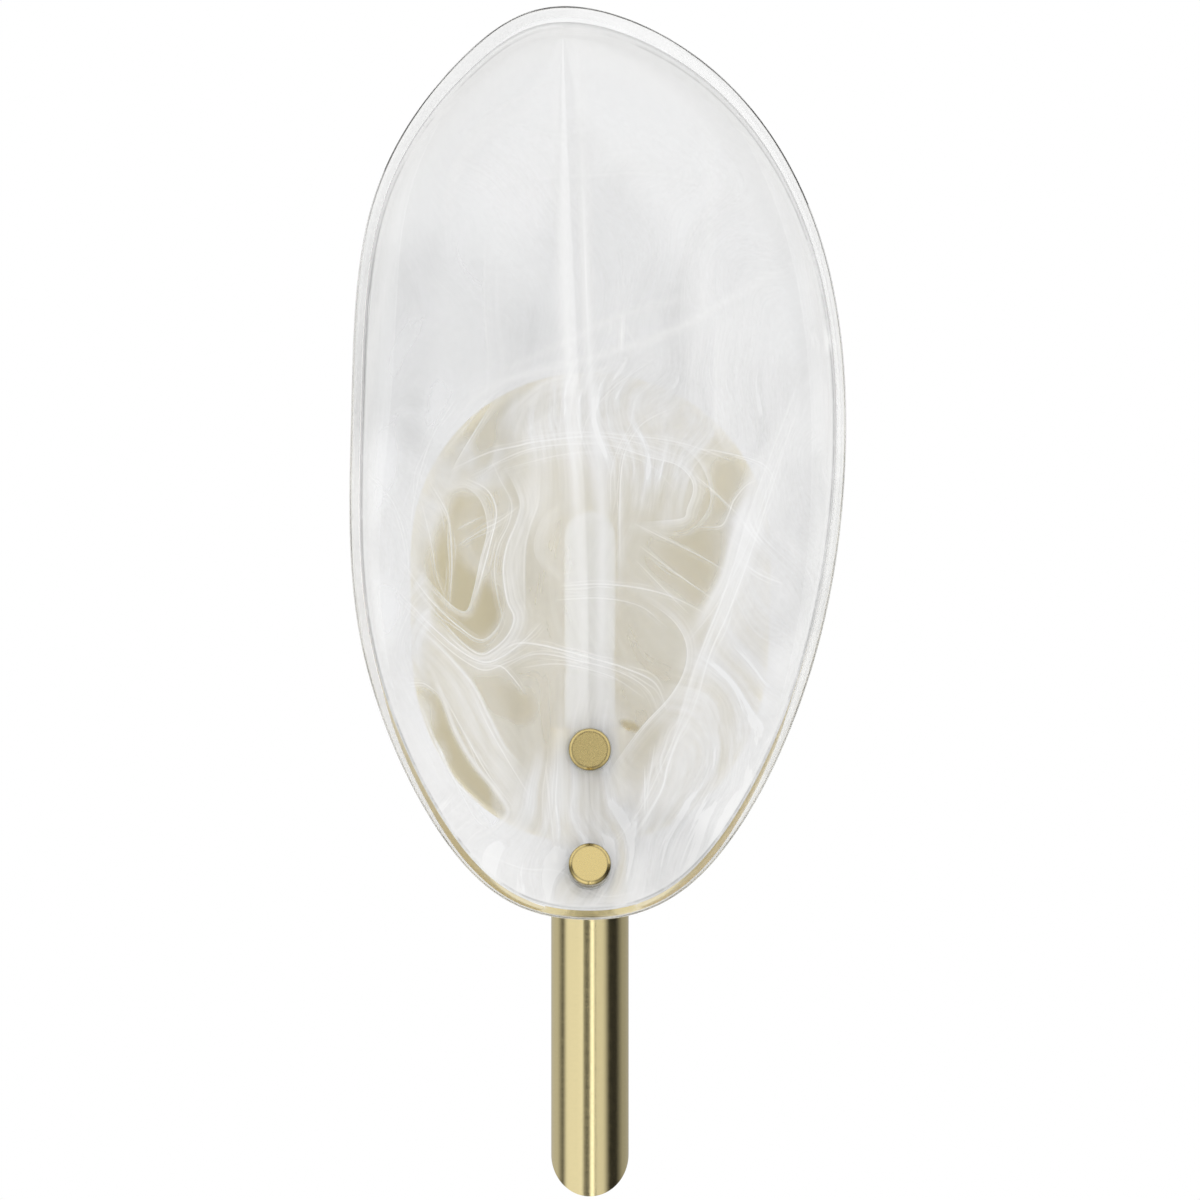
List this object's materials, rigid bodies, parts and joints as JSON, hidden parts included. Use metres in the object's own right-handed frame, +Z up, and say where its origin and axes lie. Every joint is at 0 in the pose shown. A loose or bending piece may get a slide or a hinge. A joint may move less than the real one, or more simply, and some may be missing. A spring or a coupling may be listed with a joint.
{
  "type": "shell wall sconce",
  "caption": "Wall light with a tall clear glass dish, milky swirls, on a slant-cut brass tube lamp with a rounded oblong back plate.",
  "frame": {"origin": "on the wall plane, at the centre of the oblong back plate", "axes": "+X to the viewer's right, +Z up, +Y into the wall; the light stands out from the wall towards -Y"},
  "size_m": [0.1592, 0.1225, 0.3818],
  "materials": {
    "brushed_brass": "brushed",
    "satin_brass": "satin",
    "bright_brass": "bright",
    "zinc_steel": "satin",
    "swirled_glass": "clear with milky swirls",
    "opal_glass": "opal",
    "glazed_ceramic": "glazed",
    "clear_sleeve": "clear",
    "white_plastic": "moulded",
    "brown_insulation": "matt",
    "blue_insulation": "matt",
    "earth_insulation": "green with a yellow stripe"
  },
  "bodies": {
    "fixture": {"back_plate": "brushed_brass", "mounting_strap": "zinc_steel", "plate_screws": "bright_brass", "earth_screw": "zinc_steel", "earth_tags": "zinc_steel", "terminal_block": "white_plastic", "clamp_screws": "zinc_steel", "block_screw": "zinc_steel", "arm": "brushed_brass", "tube": "brushed_brass", "tube_end_plate": "brushed_brass", "tube_cap": "bright_brass", "tube_core": "bright_brass", "arm_screws": "zinc_steel", "lock_washers": "zinc_steel", "shell_glass": "swirled_glass", "upper_stud": "zinc_steel", "lower_stud": "zinc_steel", "upper_seat": "clear_sleeve", "lower_seat": "clear_sleeve", "upper_grommet": "clear_sleeve", "lower_grommet": "clear_sleeve", "holder_body": "glazed_ceramic", "holder_contacts": "bright_brass", "holder_screws": "zinc_steel", "live_lead": "brown_insulation", "neutral_lead": "blue_insulation", "earth_lead": "earth_insulation"},
    "lamp": {"lamp_base": "glazed_ceramic", "lamp_pins": "zinc_steel", "lamp_envelope": "opal_glass", "lamp_board": "white_plastic"},
    "upper_ring": {"upper_washer": "clear_sleeve"},
    "upper_cap_nut": {"upper_knob": "satin_brass"},
    "lower_ring": {"lower_washer": "clear_sleeve"},
    "lower_cap_nut": {"lower_knob": "satin_brass"}
  },
  "joints": [
    {"name": "lamp_pull", "type": "slide", "parent": "fixture", "child": "lamp", "axis": [0, 0, 1], "range_m": [0, 0.007]},
    {"name": "upper_knob_turn", "type": "hinge", "parent": "fixture", "child": "upper_ring", "pos_m": [0, -0.07208, -0.046], "axis": [0, -0.999, 0.0448], "range_deg": [0, 1800]},
    {"name": "upper_knob_travel", "type": "slide", "parent": "upper_ring", "child": "upper_cap_nut", "axis": [0, -0.999, 0.0448], "range_m": [0, 0.00355]},
    {"name": "lower_knob_turn", "type": "hinge", "parent": "fixture", "child": "lower_ring", "pos_m": [0, -0.07565, -0.084], "axis": [0, -0.9814, 0.1921], "range_deg": [0, 1800]},
    {"name": "lower_knob_travel", "type": "slide", "parent": "lower_ring", "child": "lower_cap_nut", "axis": [0, -0.9814, 0.1921], "range_m": [0, 0.00355]}
  ],
  "couplings": [
    {"joint": "upper_knob_travel", "follows": "upper_knob_turn", "m_per_rad": 0.00011141},
    {"joint": "lower_knob_travel", "follows": "lower_knob_turn", "m_per_rad": 0.00011141}
  ]
}
